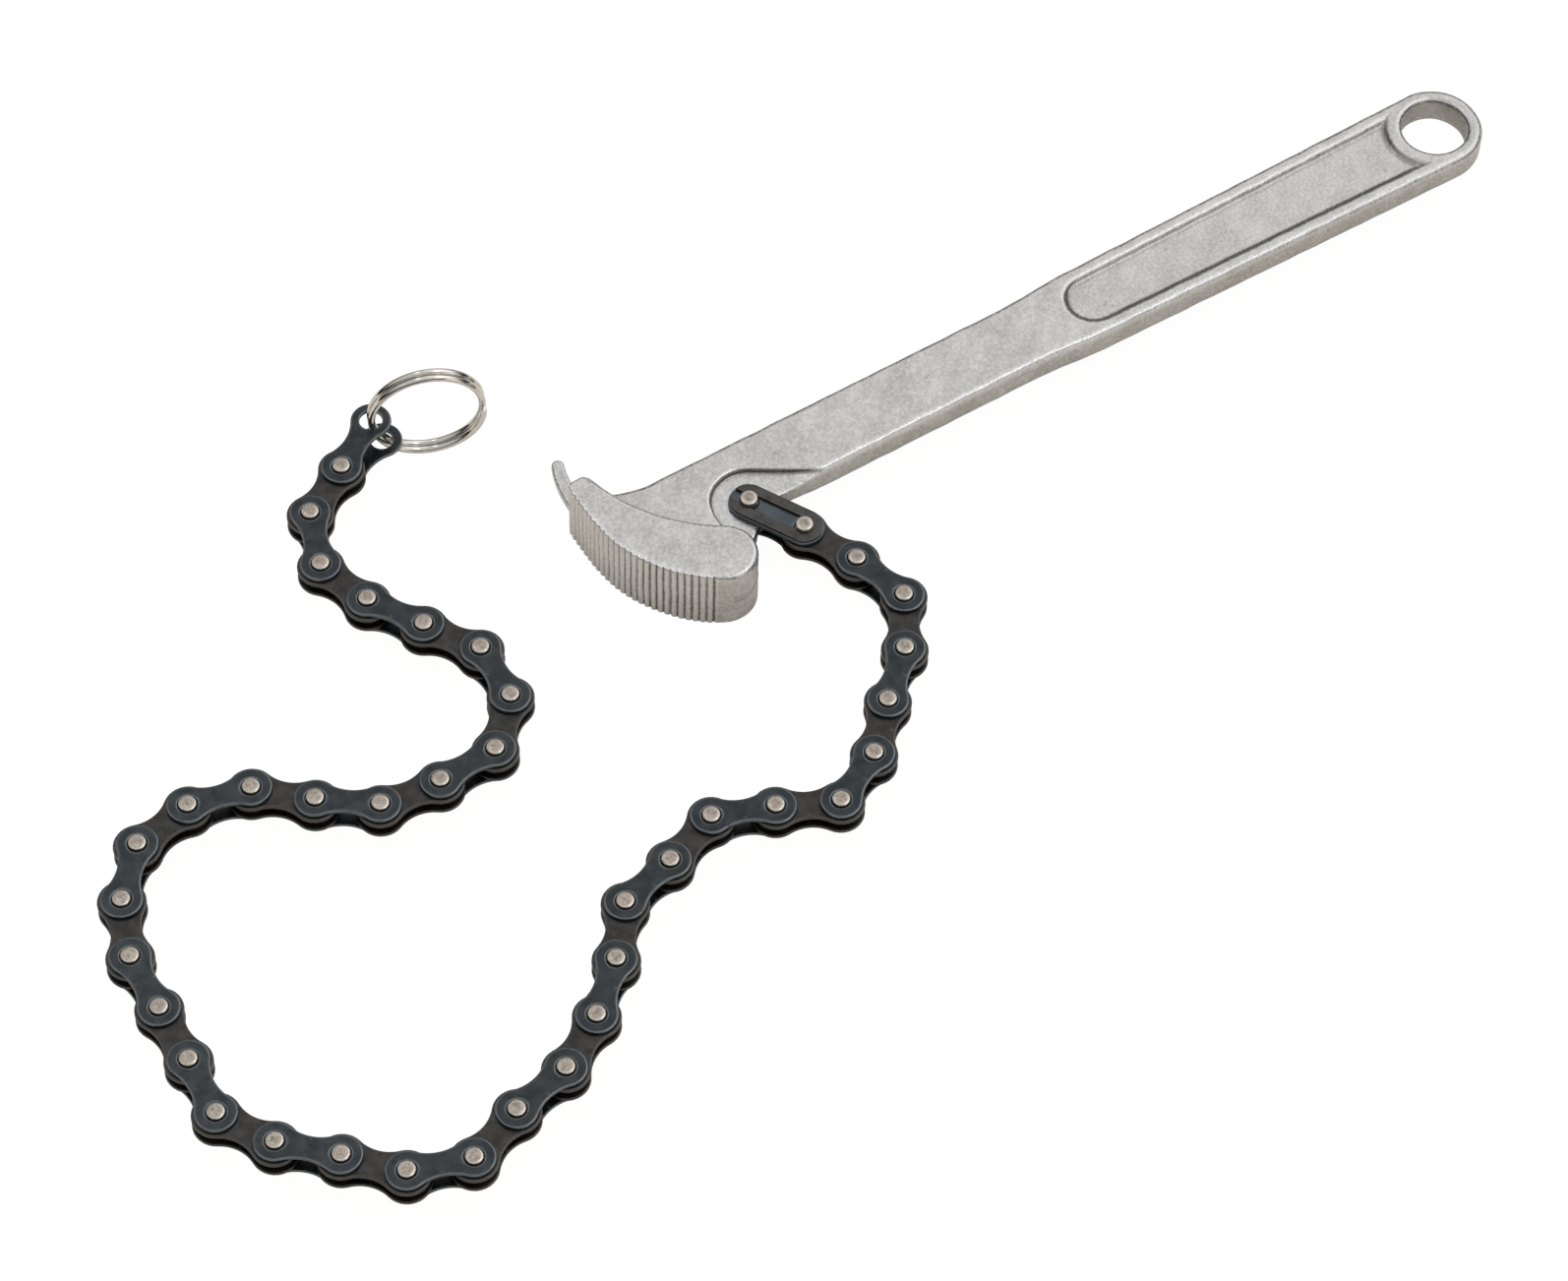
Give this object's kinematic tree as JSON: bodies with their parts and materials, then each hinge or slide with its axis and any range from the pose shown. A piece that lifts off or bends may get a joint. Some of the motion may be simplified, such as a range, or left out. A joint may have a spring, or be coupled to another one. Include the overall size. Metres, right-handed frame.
{
  "type": "chain oil filter wrench",
  "caption": "Chain wrench for oil filters: flat forged handle with hanging hole, serrated curved jaw with hook finger, and a roller chain with connecting link and split ring.",
  "frame": {"origin": "centre of the hanging hole at half the handle's thickness", "axes": "+X along the handle away from the jaw, +Z along every chain pin, out of the side with the spring clip"},
  "size_m": [0.3474, 0.1652, 0.0245],
  "materials": {
    "plated_forging": "satin plated",
    "outer_plate_steel": "blued",
    "inner_link_steel": "black oxide",
    "pin_steel": "bright",
    "clip_steel": "black oxide",
    "ring_wire": "polished nickel"
  },
  "bodies": {
    "wrench_body": {"wrench_body": "plated_forging"},
    "connecting_link": {"connecting_pin_plate": "outer_plate_steel", "connecting_cover_plate": "outer_plate_steel", "spring_clip": "clip_steel"},
    "inner_link_01": {"inner_link_01": "inner_link_steel"},
    "outer_link_01": {"outer_link_01": "outer_plate_steel"},
    "inner_link_02": {"inner_link_02": "inner_link_steel"},
    "outer_link_02": {"outer_link_02": "outer_plate_steel"},
    "inner_link_03": {"inner_link_03": "inner_link_steel"},
    "outer_link_03": {"outer_link_03": "outer_plate_steel"},
    "inner_link_04": {"inner_link_04": "inner_link_steel"},
    "outer_link_04": {"outer_link_04": "outer_plate_steel"},
    "inner_link_05": {"inner_link_05": "inner_link_steel"},
    "outer_link_05": {"outer_link_05": "outer_plate_steel"},
    "inner_link_06": {"inner_link_06": "inner_link_steel"},
    "outer_link_06": {"outer_link_06": "outer_plate_steel"},
    "inner_link_07": {"inner_link_07": "inner_link_steel"},
    "outer_link_07": {"outer_link_07": "outer_plate_steel"},
    "inner_link_08": {"inner_link_08": "inner_link_steel"},
    "outer_link_08": {"outer_link_08": "outer_plate_steel"},
    "inner_link_09": {"inner_link_09": "inner_link_steel"},
    "outer_link_09": {"outer_link_09": "outer_plate_steel"},
    "inner_link_10": {"inner_link_10": "inner_link_steel"},
    "outer_link_10": {"outer_link_10": "outer_plate_steel"},
    "inner_link_11": {"inner_link_11": "inner_link_steel"},
    "outer_link_11": {"outer_link_11": "outer_plate_steel"},
    "inner_link_12": {"inner_link_12": "inner_link_steel"},
    "outer_link_12": {"outer_link_12": "outer_plate_steel"},
    "inner_link_13": {"inner_link_13": "inner_link_steel"},
    "outer_link_13": {"outer_link_13": "outer_plate_steel"},
    "inner_link_14": {"inner_link_14": "inner_link_steel"},
    "outer_link_14": {"outer_link_14": "outer_plate_steel"},
    "inner_link_15": {"inner_link_15": "inner_link_steel"},
    "outer_link_15": {"outer_link_15": "outer_plate_steel"},
    "inner_link_16": {"inner_link_16": "inner_link_steel"},
    "outer_link_16": {"outer_link_16": "outer_plate_steel"},
    "inner_link_17": {"inner_link_17": "inner_link_steel"},
    "outer_link_17": {"outer_link_17": "outer_plate_steel"},
    "inner_link_18": {"inner_link_18": "inner_link_steel"},
    "outer_link_18": {"outer_link_18": "outer_plate_steel"},
    "inner_link_19": {"inner_link_19": "inner_link_steel"},
    "end_link": {"end_plate_upper": "outer_plate_steel", "end_plate_lower": "outer_plate_steel", "end_pin": "pin_steel"},
    "split_ring": {"split_ring": "ring_wire"}
  },
  "joints": [
    {"name": "pin_00", "type": "hinge", "parent": "wrench_body", "child": "connecting_link", "pos_m": [-0.1744, -0.0063, 0], "axis": [0, 0, -1], "range_deg": [-27, 30]},
    {"name": "pin_01", "type": "hinge", "parent": "connecting_link", "child": "inner_link_01", "pos_m": [-0.16824, -0.01741, 0], "axis": [0, 0, 1], "range_deg": [-72, 45]},
    {"name": "pin_02", "type": "hinge", "parent": "inner_link_01", "child": "outer_link_01", "pos_m": [-0.16328, -0.0291, 0], "axis": [0, 0, -1], "range_deg": [-45, 72]},
    {"name": "pin_03", "type": "hinge", "parent": "outer_link_01", "child": "inner_link_02", "pos_m": [-0.15999, -0.04137, 0], "axis": [0, 0, -1], "range_deg": [-45, 36]},
    {"name": "pin_04", "type": "hinge", "parent": "inner_link_02", "child": "outer_link_02", "pos_m": [-0.16672, -0.05214, 0], "axis": [0, 0, 1], "range_deg": [-24, 45]},
    {"name": "pin_05", "type": "hinge", "parent": "outer_link_02", "child": "inner_link_03", "pos_m": [-0.17616, -0.06063, 0], "axis": [0, 0, -1], "range_deg": [-45, 21]},
    {"name": "pin_06", "type": "hinge", "parent": "inner_link_03", "child": "outer_link_03", "pos_m": [-0.18514, -0.06961, 0], "axis": [0, 0, -1], "range_deg": [-45, 18]},
    {"name": "pin_07", "type": "hinge", "parent": "outer_link_03", "child": "inner_link_04", "pos_m": [-0.19646, -0.07538, 0], "axis": [0, 0, 1], "range_deg": [-18, 45]},
    {"name": "pin_08", "type": "hinge", "parent": "inner_link_04", "child": "outer_link_04", "pos_m": [-0.20787, -0.06981, 0], "axis": [0, 0, 1], "range_deg": [-21, 45]},
    {"name": "pin_09", "type": "hinge", "parent": "outer_link_04", "child": "inner_link_05", "pos_m": [-0.21973, -0.06526, 0], "axis": [0, 0, -1], "range_deg": [-45, 24]},
    {"name": "pin_10", "type": "hinge", "parent": "inner_link_05", "child": "outer_link_05", "pos_m": [-0.23166, -0.0696, 0], "axis": [0, 0, 1], "range_deg": [-24, 45]},
    {"name": "pin_11", "type": "hinge", "parent": "outer_link_05", "child": "inner_link_06", "pos_m": [-0.24387, -0.07311, 0], "axis": [0, 0, 1], "range_deg": [-24, 45]},
    {"name": "pin_12", "type": "hinge", "parent": "inner_link_06", "child": "outer_link_06", "pos_m": [-0.25186, -0.08297, 0], "axis": [0, 0, 1], "range_deg": [-18, 45]},
    {"name": "pin_13", "type": "hinge", "parent": "outer_link_06", "child": "inner_link_07", "pos_m": [-0.2613, -0.09147, 0], "axis": [0, 0, -1], "range_deg": [-45, 15]},
    {"name": "pin_14", "type": "hinge", "parent": "inner_link_07", "child": "outer_link_07", "pos_m": [-0.27207, -0.0982, 0], "axis": [0, 0, -1], "range_deg": [-45, 15]},
    {"name": "pin_15", "type": "hinge", "parent": "outer_link_07", "child": "inner_link_08", "pos_m": [-0.28445, -0.10106, 0], "axis": [0, 0, 1], "range_deg": [-12, 45]},
    {"name": "pin_16", "type": "hinge", "parent": "inner_link_08", "child": "outer_link_08", "pos_m": [-0.2963, -0.10561, 0], "axis": [0, 0, -1], "range_deg": [-45, 9]},
    {"name": "pin_17", "type": "hinge", "parent": "outer_link_08", "child": "inner_link_09", "pos_m": [-0.30831, -0.10148, 0], "axis": [0, 0, 1], "range_deg": [-9, 45]},
    {"name": "pin_18", "type": "hinge", "parent": "inner_link_09", "child": "outer_link_09", "pos_m": [-0.31697, -0.09219, 0], "axis": [0, 0, 1], "range_deg": [-9, 45]},
    {"name": "pin_19", "type": "hinge", "parent": "outer_link_09", "child": "inner_link_10", "pos_m": [-0.32611, -0.08337, 0], "axis": [0, 0, 1], "range_deg": [-9, 45]},
    {"name": "pin_20", "type": "hinge", "parent": "inner_link_10", "child": "outer_link_10", "pos_m": [-0.33246, -0.07237, 0], "axis": [0, 0, -1], "range_deg": [-45, 9]},
    {"name": "pin_21", "type": "hinge", "parent": "outer_link_10", "child": "inner_link_11", "pos_m": [-0.33135, -0.05972, 0], "axis": [0, 0, 1], "range_deg": [-9, 45]},
    {"name": "pin_22", "type": "hinge", "parent": "inner_link_11", "child": "outer_link_11", "pos_m": [-0.33069, -0.04703, 0], "axis": [0, 0, -1], "range_deg": [-45, 9]},
    {"name": "pin_23", "type": "hinge", "parent": "outer_link_11", "child": "inner_link_12", "pos_m": [-0.33002, -0.03435, 0], "axis": [0, 0, 1], "range_deg": [-9, 45]},
    {"name": "pin_24", "type": "hinge", "parent": "inner_link_12", "child": "outer_link_12", "pos_m": [-0.32547, -0.02249, 0], "axis": [0, 0, -1], "range_deg": [-45, 3]},
    {"name": "pin_25", "type": "hinge", "parent": "outer_link_12", "child": "inner_link_13", "pos_m": [-0.31697, -0.01306, 0], "axis": [0, 0, -1], "range_deg": [-45, 3]},
    {"name": "pin_26", "type": "hinge", "parent": "inner_link_13", "child": "outer_link_13", "pos_m": [-0.30455, -0.01042, 0], "axis": [0, 0, 1], "range_deg": [-6, 45]},
    {"name": "pin_27", "type": "hinge", "parent": "outer_link_13", "child": "inner_link_14", "pos_m": [-0.29218, -0.01327, 0], "axis": [0, 0, -1], "range_deg": [-45, 6]},
    {"name": "pin_28", "type": "hinge", "parent": "inner_link_14", "child": "outer_link_14", "pos_m": [-0.28289, -0.02193, 0], "axis": [0, 0, 1], "range_deg": [-18, 45]},
    {"name": "pin_29", "type": "hinge", "parent": "outer_link_14", "child": "inner_link_15", "pos_m": [-0.27274, -0.02958, 0], "axis": [0, 0, -1], "range_deg": [-45, 18]},
    {"name": "pin_30", "type": "hinge", "parent": "inner_link_15", "child": "outer_link_15", "pos_m": [-0.26011, -0.0309, 0], "axis": [0, 0, 1], "range_deg": [-24, 45]},
    {"name": "pin_31", "type": "hinge", "parent": "outer_link_15", "child": "inner_link_16", "pos_m": [-0.24743, -0.03024, 0], "axis": [0, 0, -1], "range_deg": [-45, 27]},
    {"name": "pin_32", "type": "hinge", "parent": "inner_link_16", "child": "outer_link_16", "pos_m": [-0.23861, -0.0211, 0], "axis": [0, 0, -1], "range_deg": [-45, 33]},
    {"name": "pin_33", "type": "hinge", "parent": "outer_link_16", "child": "inner_link_17", "pos_m": [-0.23794, -0.00842, 0], "axis": [0, 0, 1], "range_deg": [-39, 45]},
    {"name": "pin_34", "type": "hinge", "parent": "inner_link_17", "child": "outer_link_17", "pos_m": [-0.24467, 0.00235, 0], "axis": [0, 0, 1], "range_deg": [-36, 45]},
    {"name": "pin_35", "type": "hinge", "parent": "outer_link_17", "child": "inner_link_18", "pos_m": [-0.25122, 0.01323, 0], "axis": [0, 0, 1], "range_deg": [-15, 45]},
    {"name": "pin_36", "type": "hinge", "parent": "inner_link_18", "child": "outer_link_18", "pos_m": [-0.25493, 0.02538, 0], "axis": [0, 0, -1], "range_deg": [-45, 30]},
    {"name": "pin_37", "type": "hinge", "parent": "outer_link_18", "child": "inner_link_19", "pos_m": [-0.25058, 0.03731, 0], "axis": [0, 0, -1], "range_deg": [-45, 72]},
    {"name": "pin_38", "type": "hinge", "parent": "inner_link_19", "child": "end_link", "pos_m": [-0.2397, 0.04385, 0], "axis": [0, 0, 1], "range_deg": [-90, 45]},
    {"name": "ring_swing", "type": "hinge", "parent": "end_link", "child": "split_ring", "pos_m": [-0.22843, 0.04959, 0], "axis": [-0.3717, 0.1405, 0.9177], "range_deg": [-60, 150]}
  ]
}
